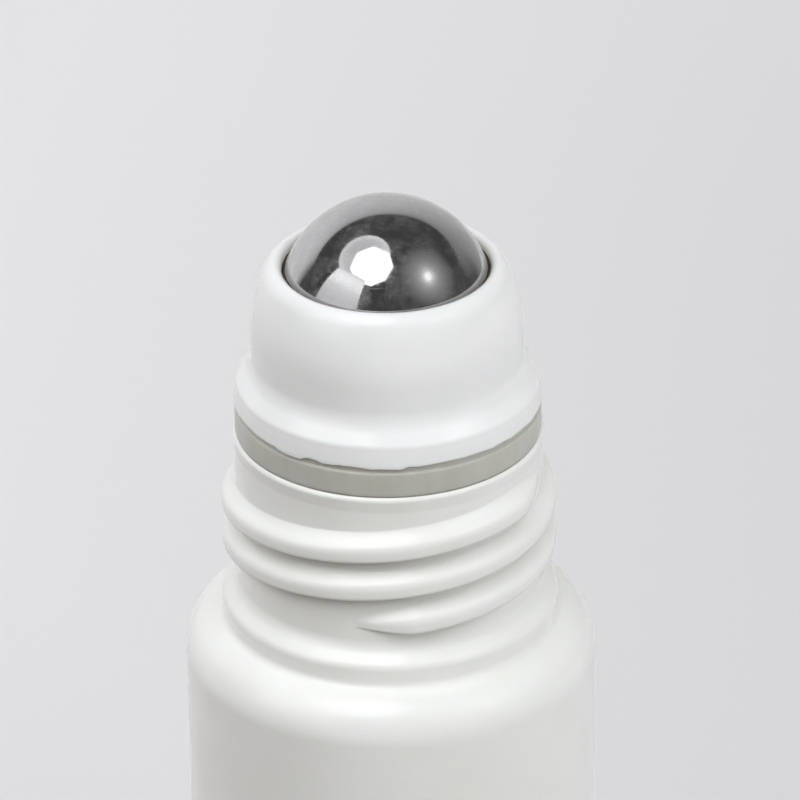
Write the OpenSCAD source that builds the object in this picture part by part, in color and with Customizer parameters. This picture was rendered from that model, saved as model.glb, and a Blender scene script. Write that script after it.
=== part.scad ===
// Roll on bottle, about 10 ml: a moulded plastic bottle with a screw thread for its cap,
// a plug that presses into the neck, a housing that snaps over the plug, and the roller ball.
// The origin is the centre of the foot, +Z is up through the ball, and the front is -Y.
// Sizes are in millimetres.

/* [Roller ball] */
// Diameter of the ball
ball_d = 10.3; // [9.8:0.05:10.8]
// Height of the ball's centre above the face that the housing sits on
ball_lift = 4.95; // [4.8:0.05:5.2]

/* [Ball housing] */
// Running gap between the ball and the housing
ball_gap = 0.1; // [0.06:0.01:0.14]
// How much smaller the lip's radius is than the ball's
lip_catch = 0.1; // [0.08:0.01:0.2]
// Height of the lip's crest above the ball's centre
lip_rise = 2.22; // [2.1:0.02:2.4]
// Rounding from the crest of the lip into the side of the dome
lip_round = 1.2; // [1:0.05:1.4]
// Rounding of the lip's inner edge
lip_edge_round = 0.25; // [0.15:0.01:0.3]
// Thickness of the dome's wall round the ball
dome_wall = 1.27; // [1.1:0.01:1.5]
// Radius of the dome's crowned side, seen in section
dome_crown = 7.1; // [6.5:0.1:9]
// Drop from the ball's centre to the dome's widest level
crown_drop = 1.39; // [1.2:0.01:1.6]
// Height of the dome's foot above the housing's seat
dome_foot_h = 2.41; // [2.3:0.01:2.6]
// Hollow rounding at the dome's foot
dome_fillet = 1.5; // [0.8:0.05:1.5]
// Width of the flange outside the dome
flange_w = 0.86; // [0.7:0.01:1]
// Height of the flange's straight edge
flange_edge_h = 0.8; // [0.7:0.01:1]
// Rounding of the flange's upper edge
flange_round = 0.4; // [0.3:0.02:0.7]

/* [Seat plug] */
// Thickness of the plug's flange, the band that shows above the rim
band_h = 1.28; // [0.9:0.01:1.5]
// How far the band stands back from the rim's edge
band_inset = 0.12; // [0.05:0.01:0.3]
// Height of the land that the housing sits on
land_h = 0.36; // [0.3:0.01:0.6]
// How far the land stands back from the edge of the band
land_step = 0.24; // [0.1:0.01:0.4]
// Height of the spigot above the land
spigot_h = 2.86; // [2.6:0.02:3]
// Wall of the spigot at its top
spigot_wall = 0.89; // [0.7:0.01:0.95]
// Gap between the ball and its cup
seat_gap = 0.05; // [0.03:0.01:0.08]
// Wall of the cup under the ball
cup_wall = 0.9; // [0.7:0.05:1.1]
// Diameter of the hole that feeds the ball
throat_d = 6; // [5:0.1:6.6]
// Number of grooves that carry liquid up the cup
groove_count = 4; // [2:1:6]
// Width of a feed groove
groove_w = 0.7; // [0.4:0.05:1]
// Depth of a feed groove
groove_depth = 0.3; // [0.2:0.02:0.4]
// Length of the stem below the rim
stem_len = 7.6; // [6.5:0.1:9]
// Wall of the stem
stem_wall = 1.05; // [0.8:0.05:1.1]
// Gap between the stem and the neck bore
stem_gap = 0.2; // [0.15:0.01:0.3]
// Running gap between the sealing ribs and the neck bore
rib_gap = 0.03; // [0.02:0.005:0.06]
// Number of sealing ribs
rib_count = 3; // [1:1:3]
// Height of a sealing rib
rib_h = 0.7; // [0.4:0.05:1]
// Distance from one sealing rib to the next
rib_pitch = 2; // [1.6:0.1:2.2]
// Length of the stem's tapered tip
tip_h = 0.8; // [0.5:0.1:1]
// How far the tip tapers inwards
tip_in = 0.35; // [0.2:0.05:0.5]

/* [Snap between housing and spigot] */
// Gap between the housing's bore and the spigot
snap_gap = 0.03; // [0.02:0.005:0.06]
// How far the snap bead stands out
bead_out = 0.12; // [0.08:0.01:0.16]
// Height of the bead's middle above the housing's seat
bead_rise = 1.3; // [1:0.05:1.6]
// Height of the bead
bead_h = 0.5; // [0.4:0.05:0.7]
// Lead-in at the open end of the housing's bore
bore_lead = 0.3; // [0.2:0.02:0.4]
// Headroom between the spigot's top and the housing
spigot_headroom = 0.1; // [0.05:0.01:0.2]

/* [Neck] */
// How far the rim stands out past the edge of the ball housing
rim_out = 0.09; // [0:0.01:0.15]
// Wall of the neck round its bore
neck_wall = 1.66; // [1.3:0.01:1.8]
// Rounding where the neck bore widens into the body
bore_foot_round = 0.8; // [0.4:0.1:1.2]
// How far the rim stands out past the neck wall
rim_lip = 0.06; // [0:0.01:0.1]
// Length over which the rim runs out into the neck wall
rim_run = 0.8; // [0.5:0.05:1]
// Rounding of the rim's outer edge
rim_round = 0.22; // [0.1:0.02:0.3]
// Lead-in at the mouth of the bore
mouth_lead = 0.25; // [0.1:0.05:0.4]

/* [Collar under the thread] */
// How far the collar stands out past the neck wall
collar_out = 0.74; // [0.7:0.02:1]
// Distance from the rim down to the collar's widest level
collar_drop = 8.75; // [8.6:0.05:9.2]
// Height of the collar's straight edge
collar_edge_h = 0.6; // [0.3:0.05:0.8]
// Rounding of the collar's upper edge
collar_round = 0.35; // [0.2:0.05:0.4]
// Hollow rounding between the neck wall and the collar
collar_fillet = 0.6; // [0.3:0.05:0.65]
// Height over which the neck wall widens into the collar
collar_rise = 1; // [0.8:0.05:1.1]
// Hollow rounding between the collar and the shoulder
collar_foot_fillet = 0.35; // [0.2:0.05:0.4]

/* [Cap thread] */
// Number of ridges that run side by side round the neck
thread_starts = 2; // [1:1:2]
// Height of the thread's crest above the neck wall
thread_h = 0.68; // [0.4:0.02:0.8]
// Distance along the neck from one ridge to the next
thread_pitch = 2.04; // [1.8:0.02:2.1]
// Width of the ridge where it meets the neck wall
thread_root_w = 1.36; // [1:0.02:1.6]
// Length of each ridge in turns
thread_turns = 1.27; // [0.8:0.01:1.3]
// Distance from the rim down to the middle of a ridge at its upper end
thread_drop = 1.8; // [1.7:0.02:2.1]
// Angle of the first ridge's upper end, from +X towards +Y
thread_angle = -10; // [-180:1:180]
// Angle over which each end rises out of the neck wall
thread_fade = 27; // [15:1:40]

/* [Bottle body] */
// Outside diameter of the body
body_d = 20; // [18.5:0.1:30]
// Height of the bottle from its foot to the rim of its neck
bottle_h = 62.5; // [40:0.5:100]
// Wall of the body and shoulder
wall = 1.2; // [0.8:0.05:1.6]
// Thickness of the floor
floor_t = 1.3; // [0.9:0.1:2]
// Rounding between the side and the foot
foot_round = 1; // [0.5:0.1:1.5]
// Width of the flat ring that the bottle stands on
foot_ring_w = 1.6; // [1:0.1:2.5]
// Rise of the hollow under the floor
base_rise = 0.8; // [0.3:0.1:1.4]
// Rounding of the shoulder
shoulder_round = 2.2; // [1.8:0.1:2.6]

/* [Gate mark under the floor] */
// Diameter of the shallow dimple that the moulding gate leaves
gate_d = 2.4; // [1.6:0.1:4]
// Depth of the dimple
gate_depth = 0.2; // [0.1:0.05:0.4]

/* [Hidden] */

// Points on each rounded corner, and steps round a turn of the thread
arc_steps = 8;
crown_steps = 10;
turn_steps = 48;
// Smoothness of the turned shapes
$fn = 128;

// Ball and housing
ball_r = ball_d / 2;
socket_r = ball_r + ball_gap;
lip_r = ball_r - lip_catch;
dome_r = socket_r + dome_wall;
flange_r = dome_r + flange_w;

// Neck, which follows the housing that sits on it
rim_r = flange_r + rim_out;
neck_r = rim_r - rim_lip;
neck_bore_r = neck_r - neck_wall;

// Bottle
body_r = body_d / 2;
body_in_r = body_r - wall;
foot_out_r = body_r - foot_round;
foot_in_r = foot_out_r - foot_ring_w;
base_sphere_r = (pow(foot_in_r, 2) + pow(base_rise, 2)) / (2 * base_rise);
floor_corner_r = body_in_r - foot_in_r;
gate_r = gate_d / 2;
collar_r = neck_r + collar_out;
collar_z = bottle_h - collar_drop;
collar_low_z = collar_z - collar_edge_h;
collar_foot_r = collar_r + collar_foot_fillet;
// The shoulder's rounding and the hollow at the collar's foot touch, each with its own radius
shoulder_r = body_r - shoulder_round;
shoulder_reach = shoulder_round + collar_foot_fillet;
shoulder_across = max(0, collar_foot_r - shoulder_r);
shoulder_z = collar_low_z - sqrt(pow(shoulder_reach, 2) - pow(shoulder_across, 2));
shoulder_angle = acos(shoulder_across / shoulder_reach);
bore_foot_z = shoulder_z + shoulder_round - wall + bore_foot_round;

// Thread
thread_lead = thread_pitch * thread_starts;
thread_rings = floor(thread_turns * turn_steps);
// The ridge in section, from its steep lower side over the crest to its sloping upper side: places
// across the root as shares of its width, heights as shares of the crest's, negative in the wall
ridge_across_shares = [-0.42, -0.37, -0.33, -0.28, -0.14, 0.14, 0.36, 0.5, 0.68];
ridge_height_shares = [-0.4, 0.12, 0.6, 0.92, 1, 0.97, 0.7, 0.38, -0.4];
// Shares of the crest's height and the root's width at a ridge's very end, which lies inside the wall
ridge_end_share = -0.3;
ridge_end_width_share = 0.2;

// Fitment heights
seat_z = bottle_h + band_h + land_h;
ball_z = seat_z + ball_lift;
spigot_top_z = seat_z + spigot_h;

// Plug
cup_r = ball_r + seat_gap;
spigot_r = sqrt(pow(cup_r, 2) - pow(ball_z - spigot_top_z, 2)) + spigot_wall;
band_r = rim_r - band_inset;
land_r = band_r - land_step;
throat_r = throat_d / 2;
stem_r = neck_bore_r - stem_gap;
rib_r = neck_bore_r - rib_gap;
stem_bore_r = stem_r - stem_wall;
stem_end_z = bottle_h - stem_len;
cup_under_r = cup_r + cup_wall;
bead_z = seat_z + bead_rise;

// Housing
crown_c = [dome_r - dome_crown, ball_z - crown_drop];
lip_c_z = ball_z + lip_rise - lip_round;
lip_c_r = crown_c[0] + sqrt(pow(dome_crown - lip_round, 2) - pow(lip_c_z - crown_c[1], 2));
lip_c = [lip_c_r, lip_c_z];
crown_angle = atan2(lip_c[1] - crown_c[1], lip_c[0] - crown_c[0]);
edge_c_r = lip_r + lip_edge_round;
edge_c_z = lip_c[1] + sqrt(pow(lip_round - lip_edge_round, 2) - pow(edge_c_r - lip_c[0], 2));
edge_angle = atan2(edge_c_z - lip_c[1], edge_c_r - lip_c[0]);
dome_foot_z = seat_z + dome_foot_h;
flange_z = seat_z + flange_edge_h;
housing_bore_r = spigot_r + snap_gap;
housing_step_z = spigot_top_z + spigot_headroom;

// Points along a circular arc from angle a to angle b, the ends included
function arc(c, r, a, b, n = arc_steps) =
    [for (i = [0 : n]) let (t = a + (b - a) * i / n) [c[0] + r * cos(t), c[1] + r * sin(t)]];

// Points down a step from a narrow wall out to a wide edge: a hollow rounding at the wall, a straight
// slope, and a round at the edge. The hollow is limited by the room that the step leaves
function step_out(wall_r, wall_z, hollow_r, edge_r, edge_z, round_r) =
    let (
        out = edge_r - wall_r,
        room = (pow(out, 2) + pow(wall_z - edge_z, 2)) / (2 * out) - round_r,
        h = min(hollow_r, room),
        c = [wall_r + h, wall_z],
        e = [edge_r - round_r, edge_z],
        a = atan2(c[1] - e[1], c[0] - e[0]) - acos(min(1, (h + round_r) / norm(c - e))))
    concat(arc(c, h, 180, 180 + a), arc(e, round_r, a, 0));

function reversed(points) = [for (i = [len(points) - 1 : -1 : 0]) points[i]];

// Height of the hollow under the floor at radius r
function hollow(r) = base_rise - base_sphere_r + sqrt(pow(base_sphere_r, 2) - pow(r, 2));

// Points of the hollow from radius a to radius b, raised by up
function hollow_line(a, b, up = 0) =
    [for (i = [0 : arc_steps]) let (r = a + (b - a) * i / arc_steps) [r, hollow(r) + up]];

// Half a sealing rib or snap bead in section, as two slopes and a flat of a third of its height
function bump(r_low, r_top, z, h) =
    [[r_low, z - h / 2], [r_top, z - h / 6], [r_top, z + h / 6], [r_low, z + h / 2]];

module turned(points) {
    rotate_extrude() polygon(points);
}

// Bottle: the blown body, shoulder, collar and neck as one turned shell
module bottle_shell() {
    outside = concat(
        [[0, hollow(gate_r) + gate_depth], [gate_r, hollow(gate_r) + gate_depth]],
        hollow_line(gate_r, foot_in_r),
        arc([foot_out_r, foot_round], foot_round, -90, 0),
        arc([shoulder_r, shoulder_z], shoulder_round, 0, shoulder_angle),
        arc([collar_foot_r, collar_low_z], collar_foot_fillet, 180 + shoulder_angle, 180),
        reversed(step_out(neck_r, collar_z + collar_rise, collar_fillet, collar_r, collar_z, collar_round)),
        [[neck_r, bottle_h - rim_run]],
        arc([rim_r - rim_round, bottle_h - rim_round], rim_round, 0, 90));
    inside = concat(
        [[neck_bore_r + mouth_lead, bottle_h], [neck_bore_r, bottle_h - mouth_lead]],
        arc([neck_bore_r + bore_foot_round, bore_foot_z], bore_foot_round, 180, 270),
        arc([shoulder_r, shoulder_z], shoulder_round - wall, 90, 0),
        arc([body_in_r - floor_corner_r, floor_t + floor_corner_r], floor_corner_r, 0, -90),
        hollow_line(foot_in_r, 0, floor_t));
    turned(concat(outside, inside));
}

// Cap thread: right-handed ridges swept down the neck, each rising out of the wall at its ends
module cap_thread() {
    for (i = [0 : thread_starts - 1])
        rotate(360 * i / thread_starts) thread_ridge();
}

module thread_ridge() {
    whole_angle = 360 * thread_turns;
    low_angle = thread_angle - whole_angle;
    low_z = bottle_h - thread_drop - thread_lead * thread_turns;
    m = len(ridge_across_shares);
    points = [for (i = [0 : thread_rings])
        let (
            turned_by = whole_angle * i / thread_rings,
            s = min(1, turned_by / thread_fade, (whole_angle - turned_by) / thread_fade),
            fade = ridge_end_share + (1 - ridge_end_share) * s,
            narrow = ridge_end_width_share + (1 - ridge_end_width_share) * s,
            z = low_z + thread_lead * turned_by / 360)
        each [for (j = [0 : m - 1])
            let (h = thread_h * ridge_height_shares[j])
            ridge_point(neck_r + (h > 0 ? h * fade : h), low_angle + turned_by,
                z + thread_root_w * narrow * ridge_across_shares[j])]];
    faces = concat(
        [[for (j = [0 : m - 1]) m - 1 - j]],
        [for (i = [0 : thread_rings - 1]) for (j = [0 : m - 1])
            let (p = i * m + j, q = i * m + (j + 1) % m)
            each [[p, q, q + m], [p, q + m, p + m]]],
        [[for (j = [0 : m - 1]) thread_rings * m + j]]);
    polyhedron(points, faces);
}

function ridge_point(r, a, z) = [r * cos(a), r * sin(a), z];

module bottle() {
    color("#f1f1ef") union() {
        bottle_shell();
        cap_thread();
    }
}

// Seat plug: ribbed stem in the neck, band on the rim, and the spigot whose cup carries the ball
module seat_plug_body() {
    cup_top_angle = -acos((spigot_r - spigot_wall) / cup_r);
    cup_low_angle = -acos(throat_r / cup_r);
    under_low_angle = -acos(throat_r / cup_under_r);
    under_top_angle = -acos(stem_bore_r / cup_under_r);
    rib_low_z = bottle_h - stem_len + tip_h + rib_pitch / 2;
    turned(concat(
        [[stem_bore_r, stem_end_z], [stem_r - tip_in, stem_end_z], [stem_r, stem_end_z + tip_h]],
        [for (i = [0 : rib_count - 1]) each bump(stem_r, rib_r, rib_low_z + rib_pitch * i, rib_h)],
        [[stem_r, bottle_h], [band_r, bottle_h], [band_r, bottle_h + band_h]],
        [[land_r, bottle_h + band_h], [land_r, seat_z], [spigot_r, seat_z]],
        bump(spigot_r, spigot_r + bead_out, bead_z, bead_h),
        [[spigot_r, spigot_top_z]],
        arc([0, ball_z], cup_r, cup_top_angle, cup_low_angle),
        arc([0, ball_z], cup_under_r, under_low_angle, under_top_angle)));
}

module seat_plug() {
    color("#b9b8ae") difference() {
        seat_plug_body();
        for (i = [0 : groove_count - 1])
            rotate(360 * i / groove_count) intersection() {
                translate([0, 0, ball_z]) sphere(cup_r + groove_depth);
                translate([0, -groove_w / 2, seat_z]) cube([land_r, groove_w, ball_lift]);
            }
    }
}

// Ball housing: the dome with its retaining lip above and its flange below
module ball_housing() {
    lip_sphere_angle = acos(lip_r / socket_r);
    color("#f6f6f5") turned(concat(
        arc([0, ball_z], socket_r, 0, lip_sphere_angle),
        arc([edge_c_r, edge_c_z], lip_edge_round, 180, edge_angle),
        arc(lip_c, lip_round, edge_angle, crown_angle),
        arc(crown_c, dome_crown, crown_angle, 0, crown_steps),
        step_out(dome_r, dome_foot_z, dome_fillet, flange_r, flange_z, flange_round),
        [[flange_r, seat_z], [housing_bore_r + bore_lead, seat_z], [housing_bore_r, seat_z + bore_lead]],
        bump(housing_bore_r, housing_bore_r + bead_out, bead_z, bead_h + snap_gap * 2),
        [[housing_bore_r, housing_step_z], [socket_r, housing_step_z]]));
}

// Roller ball: a plain ground ball, held above its middle by the lip
module roller_ball() {
    color("#8d8f92") translate([0, 0, ball_z]) sphere(ball_r);
}

bottle();
seat_plug();
ball_housing();
roller_ball();
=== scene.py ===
"""Looks of the roll on bottle: turned plastic pieces and a steel ball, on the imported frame."""

import math

import bmesh
import bpy
from mathutils import Matrix, Vector


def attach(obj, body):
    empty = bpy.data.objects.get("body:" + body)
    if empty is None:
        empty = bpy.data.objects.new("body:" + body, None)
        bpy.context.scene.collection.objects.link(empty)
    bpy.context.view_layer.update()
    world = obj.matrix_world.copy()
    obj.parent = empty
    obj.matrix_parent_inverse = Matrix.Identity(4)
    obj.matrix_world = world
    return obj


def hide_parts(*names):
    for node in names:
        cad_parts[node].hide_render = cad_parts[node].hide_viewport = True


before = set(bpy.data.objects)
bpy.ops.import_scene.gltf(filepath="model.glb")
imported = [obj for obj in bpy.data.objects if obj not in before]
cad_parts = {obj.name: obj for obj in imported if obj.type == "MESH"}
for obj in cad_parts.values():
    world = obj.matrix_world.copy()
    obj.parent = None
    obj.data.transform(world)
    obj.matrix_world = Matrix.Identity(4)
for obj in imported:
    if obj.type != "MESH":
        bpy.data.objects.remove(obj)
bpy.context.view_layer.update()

# Sizes are in millimetres, as in the CAD source, and MM turns them to metres
MM = 0.001
TAU = 2 * math.pi

# Facets round a turned piece and round the ball, and facets up the ball
COLUMNS = 256
BALL_COLUMNS = 192
BALL_ROWS = 96
# Facets along a rounding: a usual, a small and a long one, the rim's, and a small edge's
ARC_STEPS = 12
SMALL_ARC_STEPS = 8
LONG_ARC_STEPS = 24
RIM_STEPS = 6
EDGE_STEPS = 5
SAME = 1e-4  # two points closer than this are one
SUPPORT = 0.07  # distance of the row that keeps an edge's shading off the wall beside it
THREAD_ROW = 0.04  # height of a row of facets where the thread grows

# Roundings of small edges and corners, from the smallest up
TINY, SMALL, SOFT, WIDE = 0.05, 0.08, 0.1, 0.15

# Where the ball's centre and the face under the housing lie
BALL_R = 5.15
BALL_Z = 69.09
SEAT_Z = 64.14

# Bottle: body, foot and shoulder
BODY_R = 10.0
WALL = 1.2
FLOOR_T = 1.3
FOOT_ROUND = 1.0
FOOT_OUT_R = 9.0
FOOT_IN_R = 7.4
BASE_RISE = 0.8
GATE_R = 1.2
GATE_DEPTH = 0.2
SHOULDER_ROUND = 2.2

# Bottle: neck, rim and collar
RIM_Z = 62.5
RIM_R = 7.47
RIM_RUN = 0.8
RIM_ROUND = 0.22
NECK_R = 7.41
BORE_R = 5.75
BORE_FOOT_ROUND = 0.8
MOUTH_LEAD = 0.25
COLLAR_R = 8.15
COLLAR_Z = 53.45
COLLAR_EDGE_H = 0.6
COLLAR_ROUND = 0.5
COLLAR_FILLET = 0.9
COLLAR_RISE = 1.3
COLLAR_FOOT_FILLET = 0.35

# Cap thread, with its angles in degrees from +X towards +Y
THREAD_H = 0.68
THREAD_STARTS = 2
THREAD_LEAD = 4.08
THREAD_ROOT_W = 1.36
THREAD_TURNS = 1.24
THREAD_DROP = 1.86
THREAD_ANGLE = -16
THREAD_FADE = 20  # how far round a ridge's end takes to rise out of the wall
THREAD_END_SHARE = 0.35  # width of a ridge's tip, as a share of its full width
THREAD_WALL_SLACK = 0.1  # points this far inside the neck's radius still count as its outside
# The ridge in section, from under it to above it: place as a share of its root's width, and
# share of its height
THREAD_SECTION = [
    (-0.72, 0), (-0.5, 0), (-0.42, 0), (-0.385, 0.03), (-0.365, 0.12), (-0.33, 0.6),
    (-0.3, 0.86), (-0.25, 0.96), (-0.16, 1), (0, 1), (0.12, 0.98), (0.24, 0.9), (0.36, 0.7),
    (0.48, 0.42), (0.6, 0.18), (0.72, 0),
]

# Ball housing: socket, lip, dome, flange and bore
SOCKET_R = 5.25
LIP_R = 4.95
LIP_RISE = 2.22
LIP_ROUND = 1.2
LIP_EDGE_ROUND = 0.33
DOME_R = 6.52
DOME_CROWN = 7.1
CROWN_DROP = 1.39
DOME_FOOT_H = 2.41
DOME_FILLET = 1.5
FLANGE_R = 7.38
FLANGE_EDGE_H = 0.8
FLANGE_ROUND = 0.4
FLANGE_LEAN = 0.12  # how far the flange's wall leans out on its way down
FLANGE_FLARE = 0.03  # what is left of that lean where the wall ends
FLANGE_FLARE_H = 0.2
FLANGE_LOW_H = 0.1
FLANGE_LOW_ROUND = 0.03
HOUSING_BORE_GAP = 0.03
BORE_LEAD = 0.3
SPIGOT_HEADROOM = 0.1

# Flash on the flange: height of the edge that it takes in, its width, how far it hangs and
# stands out, and how often it waves in a turn
FLASH_REACH = 0.11
FLASH_WIDTH = 0.09
FLASH_DROP = 0.2
FLASH_OUT = 0.05
FLASH_WAVES = 40
# How far the flash hangs, as a share of its drop, by degrees round from the front
FLASH_STEPS = [
    (-180, 0), (-70, 0), (-56.5, 0), (-55, 0.25), (-48, 0.45), (-46.5, 0.3), (-45, 0.7), (-35, 1),
    (-33.2, 1), (-32, 0.1), (-27, 0.1), (-25.5, 0.45), (-20, 0.5), (-18.5, 0.2), (-12, 0.2),
    (-10.5, 0.4), (-3, 0.5), (5, 0.75), (6.2, 0.1), (20, 0), (180, 0),
]

# Seat plug: band, land, spigot and cup
BAND_H = 1.28
BAND_R = 7.35
BAND_ROUND = 0.07
LAND_R = 7.23
LAND_ROUND = 0.04
SPIGOT_H = 2.86
SPIGOT_WALL = 0.89
CUP_R = 5.2
CUP_WALL = 0.9
THROAT_R = 3.0
GROOVE_COUNT = 4
GROOVE_W = 0.7
GROOVE_DEPTH = 0.3
GROOVE_EDGE = 0.12  # width of the soft edge of a groove
CUP_SLACK = 0.01  # points this close to the cup's sphere lie on it

# Seat plug: stem, sealing ribs and snap bead
STEM_R = 5.55
STEM_WALL = 1.05
STEM_LEN = 7.6
RIB_R = 5.72
RIB_COUNT = 3
RIB_H = 0.7
RIB_PITCH = 2.0
RING_ROUND = 0.06  # rounding of a rib's and a bead's corners
TIP_H = 0.8
TIP_IN = 0.35
TIP_ROUND = 0.3
BEAD_OUT = 0.12
BEAD_RISE = 1.3
BEAD_H = 0.5


# Sections: lists of (radius, height) that a turned piece is spun from

def arc(centre, radius, start, end, steps=ARC_STEPS):
    """Points along a circular arc between two angles in degrees, both ends included."""
    angles = [math.radians(start + (end - start) * i / steps) for i in range(steps + 1)]
    return [(centre[0] + radius * math.cos(a), centre[1] + radius * math.sin(a)) for a in angles]


def step_out(wall_r, wall_z, hollow_r, edge_r, edge_z, round_r):
    """Points down a step from a narrow wall to a wide edge: hollow, straight slope and round."""
    out = edge_r - wall_r
    room = (out**2 + (wall_z - edge_z) ** 2) / (2 * out) - round_r
    hollow_r = min(hollow_r, room)
    hollow_c = (wall_r + hollow_r, wall_z)
    round_c = (edge_r - round_r, edge_z)
    apart = math.dist(hollow_c, round_c)
    slope = math.atan2(hollow_c[1] - round_c[1], hollow_c[0] - round_c[0])
    slope = math.degrees(slope - math.acos(min(1, (hollow_r + round_r) / apart)))
    return arc(hollow_c, hollow_r, 180, 180 + slope) + arc(round_c, round_r, slope, 0)


def eased(corners):
    """The line through corners, where a corner with a third number is rounded to that radius."""
    line = []
    for i, corner in enumerate(corners):
        if len(corner) == 2 or corner[2] == 0:
            line.append(tuple(corner[:2]))
            continue
        here = Vector(corner[:2])
        back = (Vector(corners[i - 1][:2]) - here).normalized()
        ahead = (Vector(corners[(i + 1) % len(corners)][:2]) - here).normalized()
        half = back.angle(ahead) / 2
        centre = here + (back + ahead).normalized() * (corner[2] / math.sin(half))
        reach = corner[2] / math.tan(half)
        first, last = here + back * reach - centre, here + ahead * reach - centre
        start = math.atan2(first.y, first.x)
        turn = (math.atan2(last.y, last.x) - start + math.pi) % TAU - math.pi
        line += arc(centre, corner[2], math.degrees(start), math.degrees(start + turn), EDGE_STEPS)
    return line


def supported(line):
    """The line without doubled points, and with one near each end of its long straights.

    Those points keep the straights shaded flat.
    """
    line = [here for here, back in zip(line, line[-1:] + line[:-1]) if math.dist(here, back) > SAME]
    points = []
    for here, there in zip(line, line[1:] + line[:1]):
        points.append(here)
        apart = math.dist(here, there)
        if apart > SUPPORT * 4 and max(here[0], there[0]) > 0:
            for share in (SUPPORT / apart, 1 - SUPPORT / apart):
                points.append(tuple(a + (b - a) * share for a, b in zip(here, there)))
    return points


def hollow(r, up=0):
    """A point of the hollow under the bottle's floor at radius r."""
    sphere = (FOOT_IN_R**2 + BASE_RISE**2) / (2 * BASE_RISE)
    return r, BASE_RISE - sphere + math.sqrt(sphere**2 - r**2) + up


def bottle_section():
    """Body, shoulder, collar and neck, up the outside and down the inside."""
    gate_z = hollow(GATE_R)[1]
    collar_low = COLLAR_Z - COLLAR_EDGE_H
    shoulder_r = BODY_R - SHOULDER_ROUND
    fillet_r = COLLAR_R + COLLAR_FOOT_FILLET
    reach = SHOULDER_ROUND + COLLAR_FOOT_FILLET
    shoulder_z = collar_low - math.sqrt(reach**2 - (fillet_r - shoulder_r) ** 2)
    lean = math.degrees(math.acos((fillet_r - shoulder_r) / reach))
    neck_foot, neck_top = COLLAR_Z + COLLAR_RISE, RIM_Z - RIM_RUN
    rows = round((neck_top - neck_foot) / THREAD_ROW)
    body_in_r = BODY_R - WALL
    corner = body_in_r - FOOT_IN_R
    bore_foot = shoulder_z + SHOULDER_ROUND - WALL + BORE_FOOT_ROUND
    outside = [(0, gate_z + GATE_DEPTH)]
    outside += [(GATE_R, gate_z + GATE_DEPTH, SOFT), (GATE_R, gate_z, SMALL)]
    outside += [hollow(GATE_R + (FOOT_IN_R - GATE_R) * i / ARC_STEPS) for i in range(1, ARC_STEPS)]
    outside += [(FOOT_IN_R, 0, WIDE)] + arc((FOOT_OUT_R, FOOT_ROUND), FOOT_ROUND, -90, 0)
    outside += arc((shoulder_r, shoulder_z), SHOULDER_ROUND, 0, lean)
    outside += arc((fillet_r, collar_low), COLLAR_FOOT_FILLET, 180 + lean, 180, SMALL_ARC_STEPS)
    outside += step_out(NECK_R, neck_foot, COLLAR_FILLET, COLLAR_R, COLLAR_Z, COLLAR_ROUND)[::-1]
    neck_h = neck_top - neck_foot
    outside += [(NECK_R, neck_foot + neck_h * i / rows) for i in range(1, rows + 1)]
    outside += arc((RIM_R - RIM_ROUND, RIM_Z - RIM_ROUND), RIM_ROUND, 0, 90, RIM_STEPS)
    inside = [(BORE_R + MOUTH_LEAD, RIM_Z, TINY), (BORE_R, RIM_Z - MOUTH_LEAD, SOFT)]
    steps = SMALL_ARC_STEPS
    inside += arc((BORE_R + BORE_FOOT_ROUND, bore_foot), BORE_FOOT_ROUND, 180, 270, steps)
    inside += arc((shoulder_r, shoulder_z), SHOULDER_ROUND - WALL, 90, 0, steps)
    inside += arc((body_in_r - corner, FLOOR_T + corner), corner, 0, -90, steps)
    inside += [hollow(FOOT_IN_R * (1 - i / steps), FLOOR_T) for i in range(1, steps + 1)]
    return supported(eased(outside + inside))


def bump(r_low, r_top, z, height):
    """Corners of a low ring on a wall: two slopes, and a flat a third of its height."""
    return [
        (r_low, z - height / 2, RING_ROUND), (r_top, z - height / 6, RING_ROUND),
        (r_top, z + height / 6, RING_ROUND), (r_low, z + height / 2, RING_ROUND),
    ]


def spigot_radius():
    """Outside radius of the spigot. Its wall is measured where the cup's sphere leaves its top."""
    return math.sqrt(CUP_R**2 - (BALL_Z - SEAT_Z - SPIGOT_H) ** 2) + SPIGOT_WALL


def plug_section():
    """Stem with its sealing ribs, band on the rim, land, spigot with snap bead, and the cup."""
    stem_end, spigot_r, spigot_top = RIM_Z - STEM_LEN, spigot_radius(), SEAT_Z + SPIGOT_H
    band_top, stem_bore_r, under_r = RIM_Z + BAND_H, STEM_R - STEM_WALL, CUP_R + CUP_WALL
    rib_low = stem_end + TIP_H + RIB_PITCH / 2

    def down(r, radius):
        """Angle from the ball's middle level down to where a sphere of that radius is r wide."""
        return -math.degrees(math.acos(r / radius))

    line = [(stem_bore_r, stem_end, SOFT), (STEM_R - TIP_IN, stem_end, WIDE)]
    line += [(STEM_R, stem_end + TIP_H, TIP_ROUND)]
    for i in range(RIB_COUNT):
        line += bump(STEM_R, RIB_R, rib_low + RIB_PITCH * i, RIB_H)
    line += [(STEM_R, RIM_Z, TINY), (BAND_R, RIM_Z, SOFT), (BAND_R, band_top, BAND_ROUND)]
    line += [(LAND_R, band_top, TINY), (LAND_R, SEAT_Z, LAND_ROUND), (spigot_r, SEAT_Z, TINY)]
    line += bump(spigot_r, spigot_r + BEAD_OUT, SEAT_Z + BEAD_RISE, BEAD_H)
    line += [(spigot_r, spigot_top, SMALL)]
    cup_edge = down(spigot_r - SPIGOT_WALL, CUP_R)
    line += arc((0, BALL_Z), CUP_R, cup_edge, down(THROAT_R, CUP_R), LONG_ARC_STEPS)
    throat_end = down(stem_bore_r, under_r)
    line += arc((0, BALL_Z), under_r, down(THROAT_R, under_r), throat_end, SMALL_ARC_STEPS)
    return supported(eased(line))


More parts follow.
